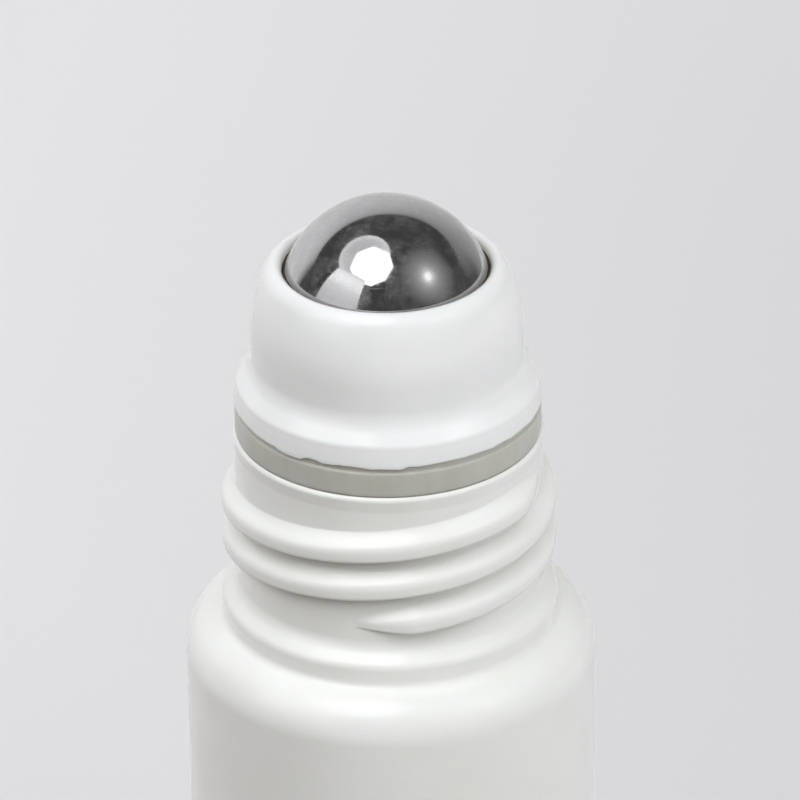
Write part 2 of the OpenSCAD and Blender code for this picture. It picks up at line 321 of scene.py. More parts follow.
def housing_section():
    """The dome with its socket and lip, the flange, and the bore that snaps over the spigot."""
    bore_r = spigot_radius() + HOUSING_BORE_GAP
    step_z = SEAT_Z + SPIGOT_H + SPIGOT_HEADROOM
    crown = (DOME_R - DOME_CROWN, BALL_Z - CROWN_DROP)
    lip_z = BALL_Z + LIP_RISE - LIP_ROUND
    lip_off = math.sqrt((DOME_CROWN - LIP_ROUND) ** 2 - (lip_z - crown[1]) ** 2)
    lip = (crown[0] + lip_off, lip_z)
    crown_top = math.degrees(math.atan2(lip[1] - crown[1], lip[0] - crown[0]))
    edge_r = LIP_R + LIP_EDGE_ROUND
    edge_up = math.sqrt((LIP_ROUND - LIP_EDGE_ROUND) ** 2 - (edge_r - lip[0]) ** 2)
    edge = (edge_r, lip_z + edge_up)
    edge_top = math.degrees(math.atan2(edge[1] - lip[1], edge[0] - lip[0]))
    foot_z, wall_z, wall_r = SEAT_Z + DOME_FOOT_H, SEAT_Z + FLANGE_EDGE_H, FLANGE_R - FLANGE_LEAN
    line = arc((0, BALL_Z), SOCKET_R, 0, math.degrees(math.acos(LIP_R / SOCKET_R)))
    line += arc(edge, LIP_EDGE_ROUND, 180, edge_top) + arc(lip, LIP_ROUND, edge_top, crown_top)
    line += arc(crown, DOME_CROWN, crown_top, 0, LONG_ARC_STEPS)
    line += step_out(DOME_R, foot_z, DOME_FILLET, wall_r, wall_z, FLANGE_ROUND)
    line += [(FLANGE_R - FLANGE_FLARE, SEAT_Z + FLANGE_FLARE_H), (FLANGE_R, SEAT_Z + FLANGE_LOW_H)]
    line += [(FLANGE_R, SEAT_Z, FLANGE_LOW_ROUND), (wall_r, SEAT_Z)]
    line += [(bore_r + BORE_LEAD, SEAT_Z, SMALL), (bore_r, SEAT_Z + BORE_LEAD, SOFT)]
    line += bump(bore_r, bore_r + BEAD_OUT, SEAT_Z + BEAD_RISE, BEAD_H + HOUSING_BORE_GAP * 2)
    line += [(bore_r, step_z, TINY), (SOCKET_R, step_z, SMALL)]
    return supported(eased(line))


def turned(name, section, columns=COLUMNS):
    """A smooth turned mesh of that section, closed at the poles and with its faces outwards."""
    area = sum(a[0] * b[1] - b[0] * a[1] for a, b in zip(section, section[1:] + section[:1]))
    if area < 0:
        section = section[::-1]
    mesh = bmesh.new()
    rings = []
    for r, z in section:
        count = columns if r > SAME else 1
        angles = [TAU * i / columns for i in range(count)]
        places = [(r * math.cos(a) * MM, r * math.sin(a) * MM, z * MM) for a in angles]
        rings.append([mesh.verts.new(place) for place in places])
    for low, high in zip(rings, rings[1:] + rings[:1]):
        if len(low) == len(high) == 1:
            continue
        for i in range(columns):
            j = (i + 1) % columns
            corners = [low[i % len(low)], low[j % len(low)]]
            corners += [high[j % len(high)], high[i % len(high)]]
            mesh.faces.new(list(dict.fromkeys(corners))).smooth = True
    data = bpy.data.meshes.new(name)
    mesh.to_mesh(data)
    mesh.free()
    piece = bpy.data.objects.new(name, data)
    bpy.context.scene.collection.objects.link(piece)
    return piece


# Node helpers

# Inputs go by name or number. In a Map Range node 1 to 4 are the From and To limits, and in a Mix
# node 6 and 7 are the two colours.

def feed(tree, node, feeds):
    """Gives a node's inputs, by name or number, a value, an output or a node's first output."""
    for key, value in feeds.items():
        if isinstance(value, bpy.types.Node):
            value = value.outputs[0]
        if isinstance(value, bpy.types.NodeSocket):
            tree.links.new(value, node.inputs[key])
        else:
            node.inputs[key].default_value = value


def add(tree, kind, feeds=None, **settings):
    """Adds a node with these settings and feeds."""
    node = tree.nodes.new(kind)
    for key, value in settings.items():
        setattr(node, key, value)
    feed(tree, node, feeds or {})
    return node


def colour(text):
    """An sRGB hex colour as linear numbers."""
    parts = [int(text[i : i + 2], 16) / 255 for i in (1, 3, 5)]
    return (*[p / 12.92 if p <= 0.04045 else ((p + 0.055) / 1.055) ** 2.4 for p in parts], 1)


def curve_points(node, points):
    """Gives a Float Curve node these points, the first and last included."""
    curve = node.mapping.curves[0]
    curve.points[0].location, curve.points[1].location = points[0], points[-1]
    for point in points[1:-1]:
        curve.points.new(*point)
    node.mapping.update()


def sized_tree(name, sizes):
    """An empty Geometry Nodes tree that takes a geometry and one number for each size."""
    tree = bpy.data.node_groups.new(name, "GeometryNodeTree")
    tree.interface.new_socket("Geometry", in_out="INPUT", socket_type="NodeSocketGeometry")
    for size in sizes:
        tree.interface.new_socket(size, in_out="INPUT", socket_type="NodeSocketFloat")
    tree.interface.new_socket("Geometry", in_out="OUTPUT", socket_type="NodeSocketGeometry")
    return tree


def finished_tree(tree, geometry, material):
    """Ends a tree with plain mesh faces in that material."""
    real = add(tree, "GeometryNodeRealizeInstances", {0: geometry})
    painted = add(tree, "GeometryNodeSetMaterial", {"Geometry": real, "Material": material})
    add(tree, "NodeGroupOutput", {0: painted})


def shape_with(piece, tree, sizes):
    """Runs the tree on the piece with these sizes and keeps the result as its own plain mesh."""
    modifier = piece.modifiers.new(tree.name, "NODES")
    modifier.node_group = tree
    for socket in tree.interface.items_tree:
        if socket.in_out == "INPUT" and socket.name in sizes:
            modifier[socket.identifier] = float(sizes[socket.name])
    shaped = piece.evaluated_get(bpy.context.evaluated_depsgraph_get())
    made = bpy.data.meshes.new_from_object(shaped)
    piece.modifiers.clear()
    piece.data = made
    made.name = piece.name


def from_axis(tree, place):
    """Each point's arm from the bottle's axis, and the length of that arm."""
    arm = add(tree, "ShaderNodeCombineXYZ", {0: place["X"], 1: place["Y"]})
    return arm, add(tree, "ShaderNodeVectorMath", {0: arm}, operation="LENGTH").outputs["Value"]


def grow_thread(piece, material):
    """Two right-handed ridges that grow out of the neck wall, with blunt wedges for their ends."""
    sizes = {
        "Neck radius": NECK_R * MM,
        "Crest height": THREAD_H * MM,
        "Rise a turn": THREAD_LEAD * MM,
        "Starts": THREAD_STARTS,
        "Root width": THREAD_ROOT_W * MM,
        "Turns": THREAD_TURNS,
        "Low end height": (RIM_Z - THREAD_DROP - THREAD_LEAD * THREAD_TURNS) * MM,
        "Low end angle": math.radians(THREAD_ANGLE) - TAU * THREAD_TURNS,
        "Fade turns": THREAD_FADE / 360,
    }
    tree = sized_tree("cap_thread", sizes)
    given = add(tree, "NodeGroupInput").outputs
    place = add(tree, "ShaderNodeSeparateXYZ", {0: add(tree, "GeometryNodeInputPosition")}).outputs
    # Turns and height past the nearest low end, and from them the nearest turn of a ridge
    angle = add(tree, "ShaderNodeMath", {0: place["Y"], 1: place["X"]}, operation="ARCTAN2")
    from_end = {0: angle, 1: given["Low end angle"]}
    from_end = add(tree, "ShaderNodeMath", from_end, operation="SUBTRACT")
    between = add(tree, "ShaderNodeMath", {0: TAU, 1: given["Starts"]}, operation="DIVIDE")
    past_end = {0: from_end, 1: between}
    past_end = add(tree, "ShaderNodeMath", past_end, operation="FLOORED_MODULO")
    part = add(tree, "ShaderNodeMath", {0: past_end, 1: TAU}, operation="DIVIDE")
    above = {0: place["Z"], 1: given["Low end height"]}
    above = add(tree, "ShaderNodeMath", above, operation="SUBTRACT")
    level = add(tree, "ShaderNodeMath", {0: above, 1: given["Rise a turn"]}, operation="DIVIDE")
    over = add(tree, "ShaderNodeMath", {0: level, 1: part}, operation="SUBTRACT")
    ridge_no = add(tree, "ShaderNodeMath", {0: over, 1: given["Starts"]}, operation="MULTIPLY")
    ridge_no = add(tree, "ShaderNodeMath", {0: ridge_no}, operation="ROUND")
    nearest = add(tree, "ShaderNodeMath", {0: ridge_no, 1: given["Starts"]}, operation="DIVIDE")
    # Towards its ends the ridge gets lower and narrower
    along = add(tree, "ShaderNodeMath", {0: part, 1: nearest}, operation="ADD")
    left = add(tree, "ShaderNodeMath", {0: given["Turns"], 1: along}, operation="SUBTRACT")
    to_end = add(tree, "ShaderNodeMath", {0: along, 1: left}, operation="MINIMUM")
    fade = add(tree, "ShaderNodeMapRange", {0: to_end, 2: given["Fade turns"]})
    narrow = {0: to_end, 2: given["Fade turns"], 3: THREAD_END_SHARE}
    narrow = add(tree, "ShaderNodeMapRange", narrow)
    width = add(tree, "ShaderNodeMath", {0: given["Root width"], 1: narrow}, operation="MULTIPLY")
    # Place across the ridge, which gives its height
    off = add(tree, "ShaderNodeMath", {0: over, 1: nearest}, operation="SUBTRACT")
    off = add(tree, "ShaderNodeMath", {0: off, 1: given["Rise a turn"]}, operation="MULTIPLY")
    off = add(tree, "ShaderNodeMath", {0: off, 1: width}, operation="DIVIDE")
    reach = THREAD_SECTION[-1][0]
    across = add(tree, "ShaderNodeMapRange", {0: off, 1: -reach, 2: reach})
    ridge = add(tree, "ShaderNodeFloatCurve", {"Value": across})
    curve_points(ridge, [((x + reach) / (2 * reach), y) for x, y in THREAD_SECTION])
    height = add(tree, "ShaderNodeMath", {0: ridge, 1: fade}, operation="MULTIPLY")
    height = {0: height, 1: given["Crest height"]}
    height = add(tree, "ShaderNodeMath", height, operation="MULTIPLY")
    arm, distance = from_axis(tree, place)
    outwards = add(tree, "ShaderNodeVectorMath", {0: arm}, operation="NORMALIZE")
    move = add(tree, "ShaderNodeVectorMath", {0: outwards, "Scale": height}, operation="SCALE")
    slack = THREAD_WALL_SLACK * MM
    wall = add(tree, "ShaderNodeMath", {0: given["Neck radius"], 1: slack}, operation="SUBTRACT")
    outside = add(tree, "FunctionNodeCompare", {0: distance, 1: wall}, operation="GREATER_THAN")
    feeds = {"Geometry": given["Geometry"], "Selection": outside, "Offset": move}
    grown = add(tree, "GeometryNodeSetPosition", feeds)
    finished_tree(tree, grown, material)
    shape_with(piece, tree, sizes)


def cut_feed_grooves(piece, material):
    """Shallow grooves up the cup, which let the liquid past the ball."""
    sizes = {
        "Cup radius": CUP_R * MM,
        "Centre height": BALL_Z * MM,
        "Groove depth": GROOVE_DEPTH * MM,
        "Half width": GROOVE_W / 2 * MM,
        "Grooves": GROOVE_COUNT,
    }
    tree = sized_tree("feed_grooves", sizes)
    given = add(tree, "NodeGroupInput").outputs
    position = add(tree, "GeometryNodeInputPosition")
    centre = add(tree, "ShaderNodeCombineXYZ", {2: given["Centre height"]})
    arm = add(tree, "ShaderNodeVectorMath", {0: position, 1: centre}, operation="SUBTRACT")
    length = add(tree, "ShaderNodeVectorMath", {0: arm}, operation="LENGTH").outputs["Value"]
    outwards = add(tree, "ShaderNodeVectorMath", {0: arm}, operation="NORMALIZE")
    place = add(tree, "ShaderNodeSeparateXYZ", {0: arm}).outputs
    angle = add(tree, "ShaderNodeMath", {0: place["Y"], 1: place["X"]}, operation="ARCTAN2")
    # Angle from the nearest groove's middle
    share = add(tree, "ShaderNodeMath", {0: TAU, 1: given["Grooves"]}, operation="DIVIDE")
    turns = add(tree, "ShaderNodeMath", {0: angle, 1: share}, operation="DIVIDE")
    nearest = add(tree, "ShaderNodeMath", {0: turns}, operation="ROUND")
    off = add(tree, "ShaderNodeMath", {0: turns, 1: nearest}, operation="SUBTRACT")
    off = add(tree, "ShaderNodeMath", {0: off, 1: share}, operation="MULTIPLY")
    off = add(tree, "ShaderNodeMath", {0: off}, operation="ABSOLUTE")
    distance = from_axis(tree, place)[1]
    beside = add(tree, "ShaderNodeMath", {0: off, 1: distance}, operation="MULTIPLY")
    half, soft = given["Half width"], GROOVE_EDGE * MM
    edge = add(tree, "ShaderNodeMath", {0: half, 1: soft}, operation="SUBTRACT")
    feeds = {0: beside, 1: edge, 2: half, 3: given["Groove depth"], 4: 0}
    depth = add(tree, "ShaderNodeMapRange", feeds, interpolation_type="SMOOTHSTEP")
    move = add(tree, "ShaderNodeVectorMath", {0: outwards, "Scale": depth}, operation="SCALE")
    feeds = {0: length, 1: given["Cup radius"], "Epsilon": CUP_SLACK * MM}
    on_cup = add(tree, "FunctionNodeCompare", feeds, operation="EQUAL")
    feeds = {"Geometry": given["Geometry"], "Selection": on_cup, "Offset": move}
    cut = add(tree, "GeometryNodeSetPosition", feeds)
    finished_tree(tree, cut, material)
    shape_with(piece, tree, sizes)


def hang_flash(piece, material):
    """The thin uneven flash along the flange's lower edge, left by the mould's split line."""
    sizes = {
        "Edge height": SEAT_Z * MM,
        "Edge radius": FLANGE_R * MM,
        "Reach": FLASH_REACH * MM,
        "Drop": FLASH_DROP * MM,
        "Stand out": FLASH_OUT * MM,
        "Waves a turn": FLASH_WAVES,
    }
    tree = sized_tree("flange_flash", sizes)
    given = add(tree, "NodeGroupInput").outputs
    place = add(tree, "ShaderNodeSeparateXYZ", {0: add(tree, "GeometryNodeInputPosition")}).outputs
    # Degrees round from the front, positive to the right
    behind = add(tree, "ShaderNodeMath", {0: place["Y"], 1: -1}, operation="MULTIPLY")
    angle = add(tree, "ShaderNodeMath", {0: place["X"], 1: behind}, operation="ARCTAN2")
    degrees = add(tree, "ShaderNodeMath", {0: angle}, operation="DEGREES")
    share = add(tree, "ShaderNodeMapRange", {0: degrees, 1: -180, 2: 180})
    steps = add(tree, "ShaderNodeFloatCurve", {"Value": share})
    curve_points(steps, [((a + 180) / 360, h) for a, h in FLASH_STEPS])
    for point in steps.mapping.curves[0].points:
        point.handle_type = "VECTOR"
    steps.mapping.update()
    # Its lower edge is ragged as well
    wave = add(tree, "ShaderNodeMath", {0: share, 1: given["Waves a turn"]}, operation="MULTIPLY")
    feeds = {"W": wave, "Scale": 1, "Detail": 2.5}
    uneven = add(tree, "ShaderNodeTexNoise", feeds, noise_dimensions="1D")
    ragged = add(tree, "ShaderNodeMapRange", {0: uneven.outputs["Fac"], 1: 0.45, 2: 0.7, 4: 0.25})
    hang = add(tree, "ShaderNodeMath", {0: steps, 1: ragged}, operation="ADD")
    top = add(tree, "ShaderNodeMath", {0: given["Edge height"], 1: given["Reach"]}, operation="ADD")
    low = add(tree, "ShaderNodeMapRange", {0: place["Z"], 1: top, 2: given["Edge height"]})
    arm, distance = from_axis(tree, place)
    outwards = add(tree, "ShaderNodeVectorMath", {0: arm}, operation="NORMALIZE")
    width, edge_r = FLASH_WIDTH * MM, given["Edge radius"]
    inner = add(tree, "ShaderNodeMath", {0: edge_r, 1: width}, operation="SUBTRACT")
    outer = add(tree, "ShaderNodeMapRange", {0: distance, 1: inner, 2: edge_r})
    weight = add(tree, "ShaderNodeMath", {0: low, 1: outer}, operation="MULTIPLY")
    weight = add(tree, "ShaderNodeMath", {0: weight, 1: hang}, operation="MULTIPLY")
    drop = add(tree, "ShaderNodeMath", {0: weight, 1: given["Drop"]}, operation="MULTIPLY")
    drop = add(tree, "ShaderNodeMath", {0: drop, 1: -1}, operation="MULTIPLY")
    out = add(tree, "ShaderNodeMath", {0: weight, 1: given["Stand out"]}, operation="MULTIPLY")
    sideways = add(tree, "ShaderNodeVectorMath", {0: outwards, "Scale": out}, operation="SCALE")
    downwards = add(tree, "ShaderNodeCombineXYZ", {2: drop})
    move = add(tree, "ShaderNodeVectorMath", {0: sideways, 1: downwards}, operation="ADD")
    hung = add(tree, "GeometryNodeSetPosition", {"Geometry": given["Geometry"], "Offset": move})
    finished_tree(tree, hung, material)
    shape_with(piece, tree, sizes)


# Finishes

# Sizes of what shows in the plastics and on the ball, in millimetres
PIGMENT_CLOUD = 6
GROOVE_SHADE = 1.6  # how far round a point walls are looked for
DUST_CELL = 4
POLISH_PATCH = 1.5
MOULD_RIPPLE, MOULD_RIPPLE_DEPTH = 2.5, 0.012
MOULD_GRAIN, MOULD_GRAIN_DEPTH = 0.2, 0.0006  # coarser than the real grain, so that it shows
FLOW_MARK = 1
SATIN_GRAIN, SATIN_GRAIN_DEPTH = 0.35, 0.002  # coarser than the real grain as well
PLUG_LIGHT_DEPTH = 1  # how far light sinks into the plug
SCRATCH, SCRATCH_DEPTH = 0.06, 0.0003  # wider than the real scratches, so that they show
HAZE_PATCH = 1.2
SMEAR = 0.9

STEEL = "#CFCFD0"


def new_material(name):
    """A new node material, its tree and its shader."""
    material = bpy.data.materials.new(name)
    material.use_nodes = True
    return material, material.node_tree, material.node_tree.nodes["Principled BSDF"]


def plastic(name, base, warm, painted_shade, roughness, depth):
    """White polypropylene, moulded against a polished tool: glossy, with its faint ripple.

    base and warm are the tones of the pigment's clouds, the third colour is that of the painted
    shade in the grooves, and depth is how far light sinks in, in millimetres.
    """
    material, tree, shader = new_material(name)
    spot = add(tree, "ShaderNodeTexCoord").outputs["Object"]
    # Cloudiness of the pigment
    clouds = {"Vector": spot, "Scale": 1 / (PIGMENT_CLOUD * MM), "Detail": 3}
    clouds = add(tree, "ShaderNodeTexNoise", clouds).outputs["Fac"]
    cloudy = add(tree, "ShaderNodeMapRange", {0: clouds, 1: 0.35, 2: 0.65})
    tone = {0: cloudy, 6: colour(base), 7: colour(warm)}
    tone = add(tree, "ShaderNodeMix", tone, data_type="RGBA").outputs[2]
    # Painted shade: darker and warmer down in the grooves, where walls close in round a point
    sky = add(tree, "ShaderNodeAmbientOcclusion", {"Distance": GROOVE_SHADE * MM}, samples=8)
    closed = add(tree, "ShaderNodeMapRange", {0: sky.outputs["AO"], 1: 0.32, 2: 0.7, 3: 1, 4: 0})
    tone = {0: closed, 6: tone, 7: colour(painted_shade)}
    tone = add(tree, "ShaderNodeMix", tone, data_type="RGBA").outputs[2]
    # Dust specks of about 0.1 mm, one in a few cells
    cells = add(tree, "ShaderNodeTexVoronoi", {"Vector": spot, "Scale": 1 / (DUST_CELL * MM)})
    small = {0: cells.outputs["Distance"], 1: 0.008, 2: 0.016, 3: 1, 4: 0}
    small = add(tree, "ShaderNodeMapRange", small)
    kind = add(tree, "ShaderNodeSeparateColor", {0: cells.outputs["Color"]}).outputs["Red"]
    chosen = add(tree, "ShaderNodeMath", {0: kind, 1: 0.72}, operation="GREATER_THAN")
    speck = add(tree, "ShaderNodeMath", {0: small, 1: chosen}, operation="MULTIPLY")
    speck = add(tree, "ShaderNodeMath", {0: speck, 1: 0.35}, operation="MULTIPLY")
    tone = {0: speck, 6: tone, 7: colour("#8A8578")}
    tone = add(tree, "ShaderNodeMix", tone, data_type="RGBA").outputs[2]
    # Patches of the tool's polish
    polish = {"Vector": spot, "Scale": 1 / (POLISH_PATCH * MM), "Detail": 2}
    polish = add(tree, "ShaderNodeTexNoise", polish).outputs["Fac"]
    rough = add(tree, "ShaderNodeMapRange", {0: polish, 3: roughness - 0.03, 4: roughness + 0.05})
    # The tool's ripple, and a fine grain
    ripple = {"Vector": spot, "Scale": 1 / (MOULD_RIPPLE * MM), "Detail": 1}
    ripple = add(tree, "ShaderNodeTexNoise", ripple).outputs["Fac"]
    grain = {"Vector": spot, "Scale": 1 / (MOULD_GRAIN * MM), "Detail": 1}
    grain = add(tree, "ShaderNodeTexNoise", grain).outputs["Fac"]
    soft = {"Height": ripple, "Distance": MOULD_RIPPLE_DEPTH * MM, "Strength": 1}
    soft = add(tree, "ShaderNodeBump", soft)
    fine = {"Height": grain, "Distance": MOULD_GRAIN_DEPTH * MM, "Normal": soft}
    fine = add(tree, "ShaderNodeBump", fine)
    feed(tree, shader, {
        "IOR": 1.49, "Subsurface Weight": 0.4, "Subsurface Radius": (1, 0.9, 0.75),
        "Subsurface Scale": depth * MM, "Base Color": tone, "Roughness": rough, "Normal": fine,
    })
    return material


def milky_polyethylene():
    """Natural low density polyethylene: waxy, milky and slightly olive, and light sinks into it."""
    material, tree, shader = new_material("milky_polyethylene_moulded")
    spot = add(tree, "ShaderNodeTexCoord").outputs["Object"]
    # Flow marks of the melt, drawn out along the stem
    flow = add(tree, "ShaderNodeMapping", {"Vector": spot, "Scale": (1, 1, 0.25)})
    marks = {"Vector": flow, "Scale": 1 / (FLOW_MARK * MM), "Detail": 3}
    marks = add(tree, "ShaderNodeTexNoise", marks).outputs["Fac"]
    cloudy = add(tree, "ShaderNodeMapRange", {0: marks, 1: 0.3, 2: 0.7})
    tone = {0: cloudy, 6: colour("#C4C3B9"), 7: colour("#BEBCB0")}
    tone = add(tree, "ShaderNodeMix", tone, data_type="RGBA").outputs[2]
    rough = add(tree, "ShaderNodeMapRange", {0: marks, 3: 0.28, 4: 0.42})
    grain = {"Vector": spot, "Scale": 1 / (SATIN_GRAIN * MM), "Detail": 2}
    grain = add(tree, "ShaderNodeTexNoise", grain).outputs["Fac"]
    fine = add(tree, "ShaderNodeBump", {"Height": grain, "Distance": SATIN_GRAIN_DEPTH * MM})
    feed(tree, shader, {
        "IOR": 1.51, "Subsurface Weight": 0.6, "Subsurface Radius": (1, 0.95, 0.8),
        "Subsurface Scale": PLUG_LIGHT_DEPTH * MM, "Base Color": tone, "Roughness": rough,
        "Normal": fine,
    })
    return material


def ground_steel():
    """Ground and polished stainless steel: mirror bright, with hair scratches and some haze."""
    material, tree, shader = new_material("stainless_steel_ground_and_polished")
    spot = add(tree, "ShaderNodeTexCoord").outputs["Object"]
    centred = add(tree, "ShaderNodeMapping", {"Vector": spot, "Location": (0, 0, -BALL_Z * MM)})
    # Hair scratches about 1 mm long, in two directions
    hairs = []
    for turn in ((0.3, 0.9, 0.2), (1.3, -0.4, 1.1)):
        lay = {"Vector": centred, "Rotation": turn, "Scale": (0.05, 1, 1)}
        lay = add(tree, "ShaderNodeMapping", lay)
        hair = {"Vector": lay, "Scale": 1 / (SCRATCH * MM), "Detail": 2}
        hair = add(tree, "ShaderNodeTexNoise", hair).outputs["Fac"]
        hairs.append(add(tree, "ShaderNodeMapRange", {0: hair, 1: 0.62, 2: 0.75}))
    scratches = add(tree, "ShaderNodeMath", {0: hairs[0], 1: hairs[1]}, operation="MAXIMUM")
    # Patches that are a little duller
    haze = {"Vector": centred, "Scale": 1 / (HAZE_PATCH * MM), "Detail": 4}
    haze = add(tree, "ShaderNodeTexNoise", haze).outputs["Fac"]
    tone = {0: haze, 6: colour(STEEL), 7: colour("#BEBFC1")}
    tone = add(tree, "ShaderNodeMix", tone, data_type="RGBA").outputs[2]
    rough = add(tree, "ShaderNodeMapRange", {0: haze, 1: 0.3, 2: 0.8, 3: 0.04, 4: 0.1})
    rough = add(tree, "ShaderNodeMath", {0: scratches, 1: 0.12, 2: rough}, operation="MULTIPLY_ADD")
    cut = {"Height": scratches, "Distance": SCRATCH_DEPTH * MM}
    cut = add(tree, "ShaderNodeBump", cut, invert=True)
    feed(tree, shader, {"Metallic": 1, "Base Color": tone, "Roughness": rough, "Normal": cut})
    # Handling has left smears that scatter some of the light
    smears = {"Vector": centred, "Scale": 1 / (SMEAR * MM), "Detail": 5, "Roughness": 0.7}
    smears = add(tree, "ShaderNodeTexNoise", smears).outputs["Fac"]
    hazy = add(tree, "ShaderNodeMapRange", {0: smears, 1: 0.42, 2: 0.68, 3: 0, 4: 0.36})
    scatter = {"Color": colour(STEEL), "Roughness": 0.45, "Normal": cut}
    scatter = add(tree, "ShaderNodeBsdfGlossy", scatter)
    both = add(tree, "ShaderNodeMixShader", {0: hazy, 1: shader, 2: scatter})
    feed(tree, tree.nodes["Material Output"], {"Surface": both})
    return material


# Studio

# Camera: lens, sensor and places in millimetres, clips in metres
CAMERA_TILT = math.radians(28.5)  # the camera looks down by this much
CAMERA_ROLL = math.radians(0.65)
CAMERA_AWAY = 287 * MM
CAMERA_AIM = Vector((0.58 * MM, 0, 63.735 * MM))
CAMERA_LENS = 270
CAMERA_SENSOR = 36
CAMERA_NEAR, CAMERA_FAR = 0.02, 30

# Tones and brightness, where 1 is white
PALE = "#E2E2E2"  # the floor and what lies behind it
LAMP_WHITE = "#F7F9FF"  # daylight lamps, a little cool
PLAIN_WHITE = "#FFFFFF"
ROOM_GLOW = 0.075
REFLECTOR_GLOW = 1.5

# Stage sizes in millimetres
STAGE_AWAY = 1500  # from the ball to the lamps and lit sheets
DIFFUSER_AWAY = 1650
FLOOR_HALF = 6000
PAPER_NEAR, PAPER_FAR = 120, 390  # where the floor turns from paper to plain pale
PAPER_LEFT, PAPER_RIGHT = -60, 12  # where the paper's painted shade starts and stops deepening
BACKDROP_HALF, BACKDROP_BACK, BACKDROP_H = 1300, 400, 700
REFLECTOR_LOW, REFLECTOR_TOP = 120, 480
MAT_H = 0.5
ROOM_R = 8000

# Soft lamps: name, turn and rise in degrees, diameter in millimetres, brightness
LAMPS = [
    ("key_lamp", -31, 62, 1120, 1.45),
    ("top_lamp", 5, 54, 1200, 1.85),
    ("right_lamp", 48, 35, 1400, 2.85),
    ("left_lamp", -66, 37, 1200, 2.55),
    ("left_rim_lamp", -122, 24, 1200, 2.1),
    ("back_lamp", 150, 25, 1200, 1.5),
]

# Brightness of what the ball shows, by the share of its radius, width or height
KEY_SHARES = [(0, 2.1), (0.1, 2.4), (0.5, 2.2), (0.8, 2.3), (1, 2.1)]
DIFFUSER_SHARES = [(0, 0.8), (0.7, 0.8), (0.84, 0.95), (0.9, 1.05), (1, 0.85)]
HALO_SHARES = [
    (0, 2.2), (0.07, 1.95), (0.12, 1.4), (0.18, 0.9), (0.28, 0.56),
    (0.42, 0.38), (0.62, 0.25), (0.82, 0.15), (1, 0.08),
]
SMALL_LAMP_SHARES = [(0, 8), (0.6, 6), (1, 1)]
REFLECTOR_SHARES = [(0, 0.52), (0.5, 0.68), (0.8, 0.96), (0.9, 0.9), (1, 0.3)]
BACKDROP_SHARES = [
    (0, 0.1), (0.08, 0.3), (0.16, 0.7), (0.3, 0.86),
    (0.5, 0.72), (0.62, 0.5), (0.76, 0.4), (1, 0.2),
]
BACKDROP_EDGE_SHARES = [
    (0, 0.86), (0.12, 0.8), (0.24, 0.77), (0.36, 0.76),
    (0.5, 0.74), (0.62, 0.67), (0.76, 0.68), (1, 0.84),
]
BACKDROP_FADE_SHARES = [(0, 1), (0.5, 0.96), (0.8, 0.8), (0.93, 0.6), (1, 0.09)]
BACKDROP_END_SHARES = [
    (0, 0.9), (0.12, 0.75), (0.25, 0.1), (0.5, 0), (0.65, 0.3), (0.78, 0.85), (1, 0.95),
]

# Corners of the mat, as turn in degrees and distance from the axis
MAT_CORNERS = [(-112, 13), (-112, 120), (-75, 130), (-45, 150), (-15, 120), (-15, 13)]
# Corners of the reflector card
REFLECTOR_CORNERS = [
    (-610, -71, 110), (-310, -470, REFLECTOR_LOW),
    (-210, -350, REFLECTOR_TOP), (-430, -90, REFLECTOR_TOP),
]


def place_camera():
    """The photograph's view: from the front, down at the ball, through a long lens."""
    back = Vector((0, -math.cos(CAMERA_TILT), math.sin(CAMERA_TILT)))
    right = Vector((1, 0, 0))
    up = Vector((0, math.sin(CAMERA_TILT), math.cos(CAMERA_TILT)))
    side = right * math.cos(CAMERA_ROLL) - up * math.sin(CAMERA_ROLL)
    top = right * math.sin(CAMERA_ROLL) + up * math.cos(CAMERA_ROLL)
    data = bpy.data.cameras.new("photo_camera")
    data.lens, data.sensor_width = CAMERA_LENS, CAMERA_SENSOR
    data.clip_start, data.clip_end = CAMERA_NEAR, CAMERA_FAR
    camera = bpy.data.objects.new("photo_camera", data)
    bpy.context.scene.collection.objects.link(camera)
    camera.matrix_world = Matrix((side, top, back)).transposed().to_4x4()
    camera.location = CAMERA_AIM + back * CAMERA_AWAY
    bpy.context.scene.camera = camera


def heading(turn, rise=0):
    """The direction turned round from the front and raised by those degrees."""
    turn, rise = math.radians(turn), math.radians(rise)
    level = math.cos(rise)
    return Vector((math.sin(turn) * level, -math.cos(turn) * level, math.sin(rise)))


def stage_material(name):
    """A material of the stage and its tree, which is empty so far."""
    material = bpy.data.materials.new(name)
    material.use_nodes = True
    material.node_tree.nodes.clear()
    return material, material.node_tree


def card(name, corners, material, seen=False, diffuse=True, glossy=True):
    """A flat stage card through these corners, in millimetres. Only a seen one casts a shadow."""
    data = bpy.data.meshes.new(name)
    data.from_pydata([Vector(c) * MM for c in corners], [], [tuple(range(len(corners)))])
    data.materials.append(material)
    made = bpy.data.objects.new(name, data)
    bpy.context.scene.collection.objects.link(made)
    made.visible_camera = made.visible_shadow = seen
    made.visible_diffuse, made.visible_glossy = diffuse, glossy


def soft_lamp(name, turn, rise, size, strength):
    """A round soft lamp that shines at the ball, which doesn't show it."""
    data = bpy.data.lights.new(name, "AREA")
    data.shape, data.size = "DISK", size * MM
    data.color = colour(LAMP_WHITE)[:3]
    # A disk's energy is pi times its area times the brightness of its face
    data.energy = strength * math.pi * math.pi * (size * MM / 2) ** 2
    lamp = bpy.data.objects.new(name, data)
    bpy.context.scene.collection.objects.link(lamp)
    ray = heading(turn, rise)
    lamp.location = Vector((0, 0, BALL_Z * MM)) + ray * STAGE_AWAY * MM
    lamp.rotation_mode = "QUATERNION"
    lamp.rotation_quaternion = ray.to_track_quat("Z", "Y")
    lamp.visible_camera = lamp.visible_glossy = False


